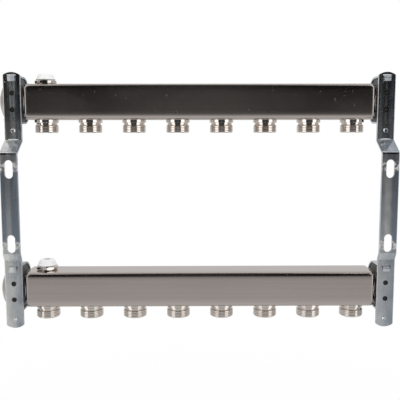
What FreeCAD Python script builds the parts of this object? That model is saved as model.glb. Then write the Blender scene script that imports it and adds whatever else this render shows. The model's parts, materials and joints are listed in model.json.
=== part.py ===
import FreeCAD, Part
import math
import os

# Heating manifold: two square outlet bars, one above the other, clamped to a pair of wall brackets.
# Millimetres. Origin: centre of the plug-end bracket's two slots, on the wall.
# +X runs along the bars to the inlet ports, +Y from the wall into the room, +Z up.

# Bars
OUTLETS_PER_BAR = 8
OUTLET_PITCH = 50.0
BAR_SPACING = 210.0
BAR_LEDGE = 1.0
BAR_EDGE_RADIUS = 6.0
BAR_END_RADIUS = 4.0
BAR_WALL = 2.0
BAR_END_MARGIN = 22.0
COLLAR_WALL = 2.2
COLLAR_HEIGHT = 5.0
SOCKET_CLEARANCE = 0.05

# Round threaded necks welded into the bar ends
NECK_WALL = 3.85
NECK_PAST_STRIP = 0.7
NECK_INSERTION = 5.5
NECK_CHAMFER = 0.8
PORT_BORE = 30.3
PORT_DEPTH = 16.0
PORT_CHAMFER = 1.2
NECK_PASSAGE = 26.0

# Outlet nipples, with an external pipe thread and a cone seat
THREAD_DIAMETER = 26.44
THREAD_LENGTH = 7.8
THREAD_CHAMFER = 1.0
UNDERCUT_DEPTH = 1.4
UNDERCUT_LENGTH = 3.6
FLANGE_STEP = 0.4
FLANGE_THICKNESS = 3.2
FLANGE_CHAMFER = 0.4
FLANGE_RIM = 1.0
STUB_DIAMETER = 20.5
STUB_LENGTH = 8.0
NIPPLE_BORE = 15.0
CONE_MOUTH = 20.2
CONE_DEPTH = 9.0
SEAL_WIDTH = 2.3
SEAL_THICKNESS = 1.0

# Air vents
VENT_STUB_DIAMETER = 16.4
VENT_SEAL_WIDTH = 2.0
HEX_FLATS = 23.0
HEX_CORNER_DIAMETER = 24.4
HEX_HEIGHT = 5.2
HEX_CHAMFER = 1.6
HEX_CHAMFER_REACH = 1.0
HEX_TURN = {"upper": 0.0, "lower": 30.0}
SPIGOT_DIAMETER = 10.0
SPIGOT_HEIGHT = 5.2
GROOVE_DEPTH = 0.6
GROOVE_WIDTH = 1.6
GROOVE_HEIGHT = 2.2
BLEED_DIAMETER = 5.0
BLEED_HEAD_DIAMETER = 6.4
BLEED_HEAD_HEIGHT = 0.9
BLEED_LENGTH = 7.5
BLEED_SLOT_WIDTH = 1.0
BLEED_SLOT_DEPTH = 0.6
AIR_BORE = 3.0
CROSS_BORE = 1.2
CAP_SKIRT_DIAMETER = 21.6
CAP_SKIRT_HEIGHT = 1.4
CAP_BASE_DIAMETER = 20.0
CAP_TOP_DIAMETER = 17.0
CAP_EDGE = 1.2
CAP_ROOF = 1.3
SPOUT_WIDTH = 6.0
SPOUT_HEIGHT = 3.6
SPOUT_REACH = 2.5
SPOUT_EDGE = 0.9
SPOUT_BORE = 1.8
TURN_CLEARANCE = 0.2
BLEED_CLEARANCE = 0.1

# End plugs
PLUG_FLANGE_STEP = 0.7
PLUG_FLANGE_THICKNESS = 2.5
PLUG_HEAD_DIAMETER = 27.0
PLUG_HEAD_HEIGHT = 2.5
PLUG_HEAD_CHAMFER = 1.0
PLUG_STUB_LENGTH = 12.0
PLUG_SOCKET_FLATS = 12.0
PLUG_SOCKET_DEPTH = 5.0
PLUG_SEAL_THICKNESS = 1.5

# Wall brackets, each one folded strip
STRIP_WIDTH = 19.4
STRIP_THICKNESS = 3.0
STRIP_EDGE_RADIUS = 0.8
STRIP_BEND = 1.2
STRIP_END_RADIUS = 15.0
STRIP_TO_BAR_GAP = 0.1
UPPER_STANDOFF = 22.0
LOWER_STANDOFF = 4.5
UPPER_FOLD_HEIGHT = 13.0
LOWER_FOLD_HEIGHT = 7.0
WALL_SLOT_WIDTH = 9.0
WALL_SLOT_LENGTH = 20.0
UPPER_SLOT_TO_FOLD = 7.3
LOWER_SLOT_TO_FOLD = 1.5

# Clamps round the necks: rubber liner, hooked strap and screw
LINER_THICKNESS = 3.5
LINER_PAD = 3.0
LINER_WIDTH = 12.0
LINER_SPLIT = 1.0
PEG_DIAMETER = 5.4
PEG_SPACING = 18.0
PEG_TO_PAD_END = 4.0
PEG_RECESS = 0.5
PEG_CHAMFER = 0.9
PEG_CLEARANCE = 0.05
STRAP_WIDTH = 14.0
STRAP_THICKNESS = 2.0
TONGUE_WIDTH = 7.5
TONGUE_LENGTH = 5.2
TONGUE_LEAN = math.radians(10)
TONGUE_BEND = 1.0
HOOK_RISE = 4.0
HOOK_SIDE_CLEARANCE = 1.0
HOOK_HEIGHT_CLEARANCE = 0.7
FLANGE_BEND = 2.0
STRAP_FLANGE_END_RADIUS = 9.0
SCREW_DROP = 8.7
SCREW_TO_FLANGE_END = 8.0
SCREW_DIAMETER = 5.0
SCREW_CLEARANCE = 0.05
SCREW_TIP = 1.8
SCREW_TIP_CHAMFER = 0.9
SCREW_HEAD_DIAMETER = 9.5
SCREW_HEAD_HEIGHT = 3.4
SCREW_HEAD_EDGE = 1.0
SCREW_RECESS_WIDTH = 1.1
SCREW_RECESS_LENGTH = 5.0
SCREW_RECESS_DEPTH = 1.8
HOOK_TO_STRIP_END = 2.8
FLANGE_TO_FOLD = 3.0
FLANGE_TO_STRIP_END = 1.0
STRIP_TOP_TO_FOLD = 4.0

X_DIRECTION = FreeCAD.Vector(1, 0, 0)
Y_DIRECTION = FreeCAD.Vector(0, 1, 0)
Z_DIRECTION = FreeCAD.Vector(0, 0, 1)
SAME_POINT = 1e-6
HEX_SIDES = 6

# Sections that follow the port thread: the neck round it, and the bar round the neck
NECK_DIAMETER = PORT_BORE + 2 * NECK_WALL
NECK_RADIUS = NECK_DIAMETER / 2
BAR_SIZE = NECK_DIAMETER + 2 * BAR_LEDGE

# Clamp places, measured from the neck's axis towards the plate (-Y) and up (+Z)
STRAP_BORE_RADIUS = NECK_RADIUS + LINER_THICKNESS
STRAP_MID_RADIUS = STRAP_BORE_RADIUS + STRAP_THICKNESS / 2
PLATE_FACE = -NECK_RADIUS - LINER_PAD
PLATE_BACK = PLATE_FACE - STRIP_THICKNESS
HOOK_HEIGHT = STRAP_MID_RADIUS + HOOK_RISE
HOOK_SLOT_HEIGHT = STRAP_THICKNESS + 2 * HOOK_HEIGHT_CLEARANCE
SCREW_HEIGHT = -STRAP_MID_RADIUS - SCREW_DROP
STRAP_FLANGE_END = SCREW_HEIGHT - SCREW_TO_FLANGE_END
STRIP_TOP = HOOK_HEIGHT + HOOK_SLOT_HEIGHT / 2 + HOOK_TO_STRIP_END

# Bracket places, from the middle of the wall slots
UPPER_FOLD_TOP = STRAP_FLANGE_END - FLANGE_TO_FOLD
LOWER_FOLD_BOTTOM = STRIP_TOP + STRIP_TOP_TO_FOLD
WALL_FLAT = BAR_SPACING + UPPER_FOLD_TOP - LOWER_FOLD_BOTTOM - UPPER_FOLD_HEIGHT - LOWER_FOLD_HEIGHT
WALL_SLOT_SPACING = WALL_FLAT - UPPER_SLOT_TO_FOLD - LOWER_SLOT_TO_FOLD - WALL_SLOT_LENGTH
WALL_TOP = WALL_SLOT_SPACING / 2 + WALL_SLOT_LENGTH / 2 + UPPER_SLOT_TO_FOLD
UPPER_AXIS_Z = WALL_TOP + UPPER_FOLD_HEIGHT - UPPER_FOLD_TOP
LOWER_AXIS_Z = UPPER_AXIS_Z - BAR_SPACING
UPPER_AXIS_Y = UPPER_STANDOFF - PLATE_BACK
LOWER_AXIS_Y = LOWER_STANDOFF - PLATE_BACK
BAR_AXES = {
    "upper": FreeCAD.Vector(0, UPPER_AXIS_Y, UPPER_AXIS_Z),
    "lower": FreeCAD.Vector(0, LOWER_AXIS_Y, LOWER_AXIS_Z),
}

# Places along the bars
BAR_LENGTH = (OUTLETS_PER_BAR - 1) * OUTLET_PITCH + 2 * BAR_END_MARGIN
BAR_START_X = STRIP_WIDTH / 2 + STRIP_TO_BAR_GAP
BAR_END_X = BAR_START_X + BAR_LENGTH
BRACKET_X = {"plug_end": 0.0, "inlet_end": BAR_END_X + BAR_START_X}
OUTLET_X = [BAR_START_X + BAR_END_MARGIN + i * OUTLET_PITCH for i in range(OUTLETS_PER_BAR)]
NECK_LENGTH = STRIP_TO_BAR_GAP + STRIP_WIDTH + NECK_PAST_STRIP

# Heights on a vent, from its seat on the bar
SPIGOT_TOP = HEX_HEIGHT + SPIGOT_HEIGHT
CAP_LOW = HEX_HEIGHT + TURN_CLEARANCE
CAP_CEILING = SPIGOT_TOP + TURN_CLEARANCE
CAP_HIGH = CAP_CEILING + CAP_ROOF


def turned(profile):
    """Solid of revolution about Z from (radius, height) corners."""
    corners = [FreeCAD.Vector(radius, 0, height) for radius, height in profile]
    face = Part.Face(Part.makePolygon(corners + corners[:1]))
    return face.revolve(FreeCAD.Vector(), Z_DIRECTION, 360)


def cylinder(diameter, low, high):
    return Part.makeCylinder(diameter / 2, high - low, FreeCAD.Vector(0, 0, low))


def centred_box(width, depth, low, high):
    return Part.makeBox(width, depth, high - low, FreeCAD.Vector(-width / 2, -depth / 2, low))


def hexagon(across_flats, low, high):
    """Hexagonal prism about Z with two flats square to Y."""
    corner = across_flats / math.sqrt(3)
    points = []
    for i in range(HEX_SIDES + 1):
        angle = 2 * math.pi * i / HEX_SIDES
        points.append(FreeCAD.Vector(corner * math.cos(angle), corner * math.sin(angle), low))
    return Part.Face(Part.makePolygon(points)).extrude(Z_DIRECTION * (high - low))


def pointed(shape, place, direction):
    """Copy of a shape made about Z, with its Z axis along direction and its origin at place."""
    turn = FreeCAD.Rotation(Z_DIRECTION, direction)
    return shape.transformed(FreeCAD.Placement(place, turn).toMatrix(), copy=True)


def moved(shape, place):
    return pointed(shape, place, Z_DIRECTION)


def rounded_wire(points, radii):
    """Closed wire through points, each corner rounded to its radius (0 keeps it sharp)."""
    starts, ends, arcs = [], [], []
    for i, point in enumerate(points):
        arrive = (point - points[i - 1]).normalize()
        leave = (points[(i + 1) % len(points)] - point).normalize()
        half_turn = arrive.getAngle(leave) / 2
        trim = radii[i] * math.tan(half_turn)
        starts.append(point - arrive * trim)
        ends.append(point + leave * trim)
        if radii[i] > 0:
            inward = (leave - arrive).normalize()
            crown = point + inward * (radii[i] / math.cos(half_turn) - radii[i])
            arcs.append(Part.Arc(starts[i], crown, ends[i]).toShape())
        else:
            arcs.append(None)
    edges = []
    for i, arc in enumerate(arcs):
        if arc is not None:
            edges.append(arc)
        next_start = starts[(i + 1) % len(starts)]
        if ends[i].distanceToPoint(next_start) > SAME_POINT:
            edges.append(Part.makeLine(ends[i], next_start))
    return Part.Wire(Part.__sortEdges__(edges))


def folded_strip(path, bends, thickness, width):
    """Strip folded along (y, z) points on its mid-line, with inner bend radii, centred on X = 0."""
    points = [FreeCAD.Vector(-width / 2, y, z) for y, z in path]
    left, right, left_radii, right_radii = [], [], [], []
    last = len(points) - 1
    for i, point in enumerate(points):
        arrive = (points[max(i, 1)] - points[max(i, 1) - 1]).normalize()
        leave = (points[min(i, last - 1) + 1] - points[min(i, last - 1)]).normalize()
        side = X_DIRECTION.cross(arrive + leave).normalize()
        half_turn = arrive.getAngle(leave) / 2
        offset = side * (thickness / 2 / math.cos(half_turn))
        left.append(point + offset)
        right.append(point - offset)
        inner = bends[i - 1] if 0 < i < last else 0
        outer = inner + thickness if inner else 0
        turns_left = arrive.cross(leave).dot(X_DIRECTION) > 0
        left_radii.append(inner if turns_left else outer)
        right_radii.append(outer if turns_left else inner)
    wire = rounded_wire(left + right[::-1], left_radii + right_radii[::-1])
    return Part.Face(wire).extrude(X_DIRECTION * width)


def arched_end(shape, width, height, end_radius, upward):
    """Trim a strip to a convex arc whose crown is at height."""
    sign = 1 if upward else -1
    box = shape.BoundBox
    sagitta = end_radius - math.sqrt(end_radius ** 2 - width ** 2 / 4)
    crown = FreeCAD.Vector(0, box.YMin, height)
    left = FreeCAD.Vector(-width / 2, box.YMin, height - sign * sagitta)
    right = FreeCAD.Vector(width / 2, box.YMin, height - sign * sagitta)
    lift = FreeCAD.Vector(0, 0, sign * width)
    edges = [
        Part.Arc(left, crown, right).toShape(),
        Part.makeLine(right, right + lift),
        Part.makeLine(right + lift, left + lift),
        Part.makeLine(left + lift, left),
    ]
    return shape.cut(Part.Face(Part.Wire(edges)).extrude(Y_DIRECTION * box.YLength))


def hole_along_y(diameter, y_low, y_high, z):
    return pointed(cylinder(diameter, 0, y_high - y_low), FreeCAD.Vector(0, y_low, z), Y_DIRECTION)


def disc_about_x(diameter, width):
    return pointed(cylinder(diameter, -width / 2, width / 2), FreeCAD.Vector(), X_DIRECTION)


def is_along_x(edge):
    return abs(edge.firstVertex().X - edge.lastVertex().X) > SAME_POINT


def rounded_block(low, high, edge_radius, end_radius):
    """Block between two corners, with one radius on its edges along X and one round its ends."""
    size = high - low
    block = Part.makeBox(size.x, size.y, size.z, low)
    block = block.makeFillet(edge_radius, [edge for edge in block.Edges if is_along_x(edge)])
    return block.makeFillet(end_radius, [edge for edge in block.Edges if not is_along_x(edge)])


def flat_seal(inner_diameter, width, thickness):
    ring = cylinder(inner_diameter + 2 * width, -thickness, 0)
    return ring.cut(cylinder(inner_diameter, -thickness, 0))


def make_bar(axis):
    """Hollow bar with rounded ends, drawn collars at its sockets, and seats for the necks."""
    half = FreeCAD.Vector(0, BAR_SIZE / 2, BAR_SIZE / 2)
    wall = FreeCAD.Vector(BAR_WALL, BAR_WALL, BAR_WALL)
    low = axis - half + X_DIRECTION * BAR_START_X
    high = axis + half + X_DIRECTION * BAR_END_X
    bar = rounded_block(low, high, BAR_EDGE_RADIUS, BAR_END_RADIUS)
    inside = rounded_block(low + wall, high - wall, BAR_EDGE_RADIUS - BAR_WALL, BAR_END_RADIUS - BAR_WALL)
    bar = bar.cut(inside)
    floor = axis - Z_DIRECTION * (BAR_SIZE / 2)
    roof = axis + Z_DIRECTION * (BAR_SIZE / 2)
    sockets = [(floor + X_DIRECTION * x, Z_DIRECTION, STUB_DIAMETER) for x in OUTLET_X]
    sockets.append((roof + X_DIRECTION * OUTLET_X[0], -Z_DIRECTION, VENT_STUB_DIAMETER))
    collars, bores = [], []
    for place, inward, stub in sockets:
        bore = stub + 2 * SOCKET_CLEARANCE
        depth = BAR_WALL + COLLAR_HEIGHT
        collars.append(pointed(cylinder(bore + 2 * COLLAR_WALL, 0, depth), place, inward))
        bores.append(pointed(cylinder(bore, 0, depth), place, inward))
    bar = bar.fuse(collars).cut(bores)
    neck = cylinder(NECK_DIAMETER, -NECK_INSERTION, NECK_LENGTH)
    for x, outward in ((BAR_START_X, -X_DIRECTION), (BAR_END_X, X_DIRECTION)):
        bar = bar.cut(pointed(neck, axis + X_DIRECTION * x, outward))
    return bar.removeSplitter()


def make_bush():
    """Round neck from the bar's end plane outwards along +Z, with a threaded port in its mouth."""
    mouth = NECK_LENGTH
    return turned([
        (NECK_PASSAGE / 2, -NECK_INSERTION),
        (NECK_RADIUS, -NECK_INSERTION),
        (NECK_RADIUS, mouth - NECK_CHAMFER),
        (NECK_RADIUS - NECK_CHAMFER, mouth),
        (PORT_BORE / 2 + PORT_CHAMFER, mouth),
        (PORT_BORE / 2, mouth - PORT_CHAMFER),
        (PORT_BORE / 2, mouth - PORT_DEPTH),
        (NECK_PASSAGE / 2, mouth - PORT_DEPTH),
    ])


def make_nipple():
    """Outlet nipple, seated at height 0, stub up into the bar and thread down."""
    stub = STUB_DIAMETER / 2
    thread = THREAD_DIAMETER / 2
    undercut = thread - UNDERCUT_DEPTH
    flange = max(thread + FLANGE_STEP, stub + SEAL_WIDTH + FLANGE_RIM)
    thread_top = -FLANGE_THICKNESS - UNDERCUT_LENGTH
    end = thread_top - THREAD_LENGTH
    return turned([
        (NIPPLE_BORE / 2, STUB_LENGTH),
        (stub, STUB_LENGTH),
        (stub, -SEAL_THICKNESS),
        (stub + SEAL_WIDTH, -SEAL_THICKNESS),
        (stub + SEAL_WIDTH, 0),
        (flange, 0),
        (flange, FLANGE_CHAMFER - FLANGE_THICKNESS),
        (flange - FLANGE_CHAMFER, -FLANGE_THICKNESS),
        (undercut, -FLANGE_THICKNESS),
        (undercut, thread_top + UNDERCUT_DEPTH),
        (thread, thread_top),
        (thread, end + THREAD_CHAMFER),
        (thread - THREAD_CHAMFER, end),
        (CONE_MOUTH / 2, end),
        (NIPPLE_BORE / 2, end + CONE_DEPTH),
    ])


def make_vent_body():
    """Hexagon seated at height 0, stub down into the bar and grooved spigot up into the cap."""
    stub = VENT_STUB_DIAMETER / 2
    spigot = SPIGOT_DIAMETER / 2
    corner = HEX_CORNER_DIAMETER / 2
    face = HEX_FLATS / 2 - HEX_CHAMFER_REACH
    groove_low = HEX_HEIGHT + GROOVE_HEIGHT
    groove_high = groove_low + GROOVE_WIDTH
    bevel = turned([
        (0, 0),
        (face, 0),
        (corner, HEX_CHAMFER),
        (corner, HEX_HEIGHT - HEX_CHAMFER),
        (face, HEX_HEIGHT),
        (0, HEX_HEIGHT),
    ])
    spindle = turned([
        (0, -STUB_LENGTH),
        (stub, -STUB_LENGTH),
        (stub, SEAL_THICKNESS),
        (spigot, SEAL_THICKNESS),
        (spigot, groove_low),
        (spigot - GROOVE_DEPTH, groove_low),
        (spigot - GROOVE_DEPTH, groove_high),
        (spigot, groove_high),
        (spigot, SPIGOT_TOP),
        (0, SPIGOT_TOP),
    ])
    bleed_seat = SPIGOT_TOP - BLEED_LENGTH
    seal_recess = cylinder(VENT_STUB_DIAMETER + 2 * VENT_SEAL_WIDTH, 0, SEAL_THICKNESS)
    cross_bore = cylinder(CROSS_BORE, 0, SPIGOT_DIAMETER)
    cross_place = Z_DIRECTION * ((groove_low + groove_high) / 2)
    body = hexagon(HEX_FLATS, 0, HEX_HEIGHT).common(bevel).cut(seal_recess).fuse(spindle)
    body = body.cut(cylinder(AIR_BORE, -STUB_LENGTH, bleed_seat))
    body = body.cut(cylinder(BLEED_DIAMETER + 2 * BLEED_CLEARANCE, bleed_seat, SPIGOT_TOP))
    body = body.cut(pointed(cross_bore, cross_place, Y_DIRECTION))
    return body.removeSplitter()


def make_vent_cap():
    """Skirted collar that snaps into the spigot's groove, with a drain spout towards +Y."""
    bore = SPIGOT_DIAMETER / 2 + TURN_CLEARANCE
    bead = bore - GROOVE_DEPTH
    bead_low = HEX_HEIGHT + GROOVE_HEIGHT + TURN_CLEARANCE
    bead_high = bead_low + GROOVE_WIDTH - 2 * TURN_CLEARANCE
    window = BLEED_HEAD_DIAMETER / 2 + TURN_CLEARANCE
    top = CAP_TOP_DIAMETER / 2
    collar = turned([
        (bore, CAP_LOW),
        (CAP_SKIRT_DIAMETER / 2, CAP_LOW),
        (CAP_SKIRT_DIAMETER / 2, CAP_LOW + CAP_SKIRT_HEIGHT / 2),
        (CAP_BASE_DIAMETER / 2, CAP_LOW + CAP_SKIRT_HEIGHT),
        (top, CAP_HIGH - CAP_EDGE),
        (top - CAP_EDGE, CAP_HIGH),
        (window, CAP_HIGH),
        (window, CAP_CEILING),
        (bore, CAP_CEILING),
        (bore, bead_high),
        (bead, bead_high),
        (bead, bead_low),
        (bore, bead_low),
    ])
    middle = (CAP_LOW + CAP_HIGH) / 2
    reach = CAP_SKIRT_DIAMETER / 2 + SPOUT_REACH
    spout = centred_box(SPOUT_WIDTH, SPOUT_HEIGHT, 0, reach)
    spout = spout.makeFillet(SPOUT_EDGE, spout.Edges)
    spout = pointed(spout, Z_DIRECTION * middle, Y_DIRECTION)
    spout = spout.cut(cylinder(CAP_TOP_DIAMETER - CAP_EDGE, CAP_LOW, CAP_HIGH))
    drain = pointed(cylinder(SPOUT_BORE, 0, 2 * reach), Z_DIRECTION * middle, Y_DIRECTION)
    return collar.fuse(spout).cut(drain).removeSplitter()


def make_bleed_screw():
    """Slotted screw with a cone point, in the vent's spigot."""
    shank = BLEED_DIAMETER / 2
    head = BLEED_HEAD_DIAMETER / 2
    head_low = SPIGOT_TOP + TURN_CLEARANCE
    head_high = head_low + BLEED_HEAD_HEIGHT
    point = SPIGOT_TOP - BLEED_LENGTH - AIR_BORE / 2 + TURN_CLEARANCE
    screw = turned([
        (0, point),
        (shank, point + shank),
        (shank, head_low),
        (head, head_low),
        (head, head_high),
        (0, head_high),
    ])
    slot = centred_box(BLEED_HEAD_DIAMETER, BLEED_SLOT_WIDTH, head_high - BLEED_SLOT_DEPTH, head_high)
    return screw.cut(slot)


def make_plug():
    """End plug, seated at height 0 on its seal, head up and stub down into the port."""
    stub = PORT_BORE / 2 - SOCKET_CLEARANCE
    flange = NECK_RADIUS - PLUG_FLANGE_STEP
    head = PLUG_HEAD_DIAMETER / 2
    top = PLUG_FLANGE_THICKNESS + PLUG_HEAD_HEIGHT
    plug = turned([
        (0, -PLUG_STUB_LENGTH),
        (stub, -PLUG_STUB_LENGTH),
        (stub, 0),
        (flange, 0),
        (flange, PLUG_FLANGE_THICKNESS),
        (head, PLUG_FLANGE_THICKNESS),
        (head, top - PLUG_HEAD_CHAMFER),
        (head - PLUG_HEAD_CHAMFER, top),
        (0, top),
    ])
    return plug.cut(hexagon(PLUG_SOCKET_FLATS, top - PLUG_SOCKET_DEPTH, top))


def make_plug_seal():
    stub = PORT_BORE / 2 - SOCKET_CLEARANCE
    return flat_seal(2 * stub, NECK_RADIUS - PLUG_FLANGE_STEP - stub, PLUG_SEAL_THICKNESS)


def wall_slot(z):
    """Upright slot cutter through the strip at the wall."""
    straight = WALL_SLOT_LENGTH - WALL_SLOT_WIDTH
    ends = [hole_along_y(WALL_SLOT_WIDTH, 0, STRIP_THICKNESS, z + side * straight / 2) for side in (-1, 1)]
    corner = FreeCAD.Vector(-WALL_SLOT_WIDTH / 2, 0, z - straight / 2)
    return ends[0].fuse([ends[1], Part.makeBox(WALL_SLOT_WIDTH, STRIP_THICKNESS, straight, corner)])


def clamp_holes(axis):
    """Cutters in one plate for a clamp's tongue, liner pegs and screw."""
    back = axis.y + PLATE_BACK
    face = axis.y + PLATE_FACE
    cutters = [hole_along_y(SCREW_DIAMETER + 2 * SCREW_CLEARANCE, back, face, axis.z + SCREW_HEIGHT)]
    for side in (-1, 1):
        peg_z = axis.z + side * PEG_SPACING / 2
        cutters.append(hole_along_y(PEG_DIAMETER + 2 * PEG_CLEARANCE, back, face, peg_z))
    width = TONGUE_WIDTH + 2 * HOOK_SIDE_CLEARANCE
    low = FreeCAD.Vector(-width / 2, back, axis.z + HOOK_HEIGHT - HOOK_SLOT_HEIGHT / 2)
    cutters.append(Part.makeBox(width, STRIP_THICKNESS, HOOK_SLOT_HEIGHT, low))
    return cutters


def make_bracket():
    """Folded strip: slotted middle on the wall, a plate set off the wall for each bar."""
    upper_y = UPPER_STANDOFF + STRIP_THICKNESS / 2
    lower_y = LOWER_STANDOFF + STRIP_THICKNESS / 2
    wall_y = STRIP_THICKNESS / 2
    top = UPPER_AXIS_Z + STRIP_TOP
    bottom = LOWER_AXIS_Z + STRAP_FLANGE_END - FLANGE_TO_STRIP_END
    path = [
        (upper_y, top),
        (upper_y, UPPER_AXIS_Z + UPPER_FOLD_TOP),
        (wall_y, WALL_TOP),
        (wall_y, WALL_TOP - WALL_FLAT),
        (lower_y, LOWER_AXIS_Z + LOWER_FOLD_BOTTOM),
        (lower_y, bottom),
    ]
    strip = folded_strip(path, [STRIP_BEND] * (len(path) - 2), STRIP_THICKNESS, STRIP_WIDTH)
    side_edges = [edge for edge in strip.Edges if not is_along_x(edge)]
    long_edges = [edge for edge in side_edges if edge.Length > STRIP_THICKNESS + SAME_POINT]
    strip = strip.makeFillet(STRIP_EDGE_RADIUS, long_edges)
    strip = arched_end(strip, STRIP_WIDTH, top, STRIP_END_RADIUS, upward=True)
    strip = arched_end(strip, STRIP_WIDTH, bottom, STRIP_END_RADIUS, upward=False)
    cutters = [wall_slot(side * WALL_SLOT_SPACING / 2) for side in (-1, 1)]
    for axis in BAR_AXES.values():
        cutters.extend(clamp_holes(axis))
    return strip.cut(cutters)


def make_strap():
    """Strap about the neck's axis: tongue through the plate, loop over the liner, flange on the plate."""
    tongue_end_y = PLATE_BACK - STRAP_THICKNESS / 2
    tongue_y = tongue_end_y - TONGUE_LENGTH * math.sin(TONGUE_LEAN)
    flange_y = PLATE_FACE + STRAP_THICKNESS / 2
    path = [
        (tongue_end_y, HOOK_HEIGHT - TONGUE_LENGTH * math.cos(TONGUE_LEAN)),
        (tongue_y, HOOK_HEIGHT),
        (STRAP_MID_RADIUS, HOOK_HEIGHT),
        (STRAP_MID_RADIUS, -STRAP_MID_RADIUS),
        (flange_y, -STRAP_MID_RADIUS),
        (flange_y, STRAP_FLANGE_END),
    ]
    bends = [TONGUE_BEND, STRAP_BORE_RADIUS, STRAP_BORE_RADIUS, FLANGE_BEND]
    strap = folded_strip(path, bends, STRAP_THICKNESS, STRAP_WIDTH)
    strap = arched_end(strap, STRAP_WIDTH, STRAP_FLANGE_END, STRAP_FLANGE_END_RADIUS, upward=False)
    shoulder = (STRAP_WIDTH - TONGUE_WIDTH) / 2
    depth = STRIP_THICKNESS + STRAP_THICKNESS + TONGUE_LENGTH
    for x in (-STRAP_WIDTH / 2, TONGUE_WIDTH / 2):
        corner = FreeCAD.Vector(x, PLATE_FACE - depth, 0)
        strap = strap.cut(Part.makeBox(shoulder, depth, 2 * HOOK_HEIGHT, corner))
    screw_hole = SCREW_DIAMETER + 2 * SCREW_CLEARANCE
    return strap.cut(hole_along_y(screw_hole, PLATE_FACE, PLATE_FACE + STRAP_THICKNESS, SCREW_HEIGHT))


def make_liner():
    """Split rubber ring about the neck's axis, raised to fill the strap, with a pad and two pegs."""
    ring = disc_about_x(2 * STRAP_BORE_RADIUS, LINER_WIDTH)
    crown = moved(ring, Z_DIRECTION * HOOK_RISE)
    corner = FreeCAD.Vector(-LINER_WIDTH / 2, -STRAP_BORE_RADIUS, 0)
    middle = Part.makeBox(LINER_WIDTH, 2 * STRAP_BORE_RADIUS, HOOK_RISE, corner)
    pad_height = PEG_SPACING + 2 * PEG_TO_PAD_END
    corner = FreeCAD.Vector(-LINER_WIDTH / 2, PLATE_FACE, -pad_height / 2)
    pad = Part.makeBox(LINER_WIDTH, -PLATE_FACE, pad_height, corner)
    height = 2 * STRAP_BORE_RADIUS + HOOK_RISE
    past_plate = FreeCAD.Vector(-LINER_WIDTH / 2, PLATE_FACE - STRAP_BORE_RADIUS, -STRAP_BORE_RADIUS)
    liner = ring.fuse([crown, middle, pad])
    liner = liner.cut(Part.makeBox(LINER_WIDTH, STRAP_BORE_RADIUS, height, past_plate))
    liner = liner.cut(disc_about_x(NECK_DIAMETER, LINER_WIDTH))
    split = FreeCAD.Vector(-LINER_WIDTH / 2, 0, -LINER_SPLIT / 2)
    liner = liner.cut(Part.makeBox(LINER_WIDTH, STRAP_BORE_RADIUS, LINER_SPLIT, split))
    peg_radius = PEG_DIAMETER / 2
    peg_length = STRIP_THICKNESS - PEG_RECESS
    peg = turned([
        (0, 0),
        (peg_radius, 0),
        (peg_radius, peg_length - PEG_CHAMFER),
        (peg_radius - PEG_CHAMFER, peg_length),
        (0, peg_length),
    ])
    for side in (-1, 1):
        root = FreeCAD.Vector(0, PLATE_FACE, side * PEG_SPACING / 2)
        liner = liner.fuse(pointed(peg, root, -Y_DIRECTION))
    return liner.removeSplitter()


def make_clamp_screw():
    """Pan-head screw with its head's seat at height 0 and its shank down, cross recess on top."""
    shank = SCREW_DIAMETER / 2
    head = SCREW_HEAD_DIAMETER / 2
    end = -STRAP_THICKNESS - STRIP_THICKNESS - SCREW_TIP
    screw = turned([
        (0, end),
        (shank - SCREW_TIP_CHAMFER, end),
        (shank, end + SCREW_TIP_CHAMFER),
        (shank, 0),
        (head, 0),
        (head, SCREW_HEAD_HEIGHT - SCREW_HEAD_EDGE),
        (head - SCREW_HEAD_EDGE, SCREW_HEAD_HEIGHT),
        (0, SCREW_HEAD_HEIGHT),
    ])
    low = SCREW_HEAD_HEIGHT - SCREW_RECESS_DEPTH
    arms = [
        centred_box(SCREW_RECESS_LENGTH, SCREW_RECESS_WIDTH, low, SCREW_HEAD_HEIGHT),
        centred_box(SCREW_RECESS_WIDTH, SCREW_RECESS_LENGTH, low, SCREW_HEAD_HEIGHT),
    ]
    return screw.cut(arms)


def bar_nodes(level, axis):
    """Every piece on one bar, by node name."""
    floor = axis - Z_DIRECTION * (BAR_SIZE / 2)
    vent_seat = axis + Z_DIRECTION * (BAR_SIZE / 2) + X_DIRECTION * OUTLET_X[0]
    plug_end = axis + X_DIRECTION * BAR_START_X
    inlet_end = axis + X_DIRECTION * BAR_END_X
    plug_seat = plug_end - X_DIRECTION * (NECK_LENGTH + PLUG_SEAL_THICKNESS)
    bush = make_bush()
    nipple = make_nipple()
    seal = flat_seal(STUB_DIAMETER, SEAL_WIDTH, SEAL_THICKNESS)
    vent_body = make_vent_body()
    vent_body.rotate(FreeCAD.Vector(), Z_DIRECTION, HEX_TURN[level])
    vent_seal = flat_seal(VENT_STUB_DIAMETER, VENT_SEAL_WIDTH, SEAL_THICKNESS)
    outlet_places = [floor + X_DIRECTION * x for x in OUTLET_X]
    nodes = {
        f"{level}_bar": make_bar(axis),
        f"{level}_plug_end_bush": pointed(bush, plug_end, -X_DIRECTION),
        f"{level}_inlet_bush": pointed(bush, inlet_end, X_DIRECTION),
        f"{level}_outlet_seals": Part.makeCompound([moved(seal, place) for place in outlet_places]),
        f"{level}_vent_body": moved(vent_body, vent_seat),
        f"{level}_vent_seal": moved(vent_seal, vent_seat + Z_DIRECTION * SEAL_THICKNESS),
        f"{level}_vent_cap": moved(make_vent_cap(), vent_seat),
        f"{level}_bleed_screw": moved(make_bleed_screw(), vent_seat),
        f"{level}_end_plug": pointed(make_plug(), plug_seat, -X_DIRECTION),
        f"{level}_plug_seal": pointed(make_plug_seal(), plug_seat, -X_DIRECTION),
    }
    for number, place in enumerate(outlet_places, start=1):
        nodes[f"{level}_outlet_{number}"] = moved(nipple, place)
    return nodes


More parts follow.
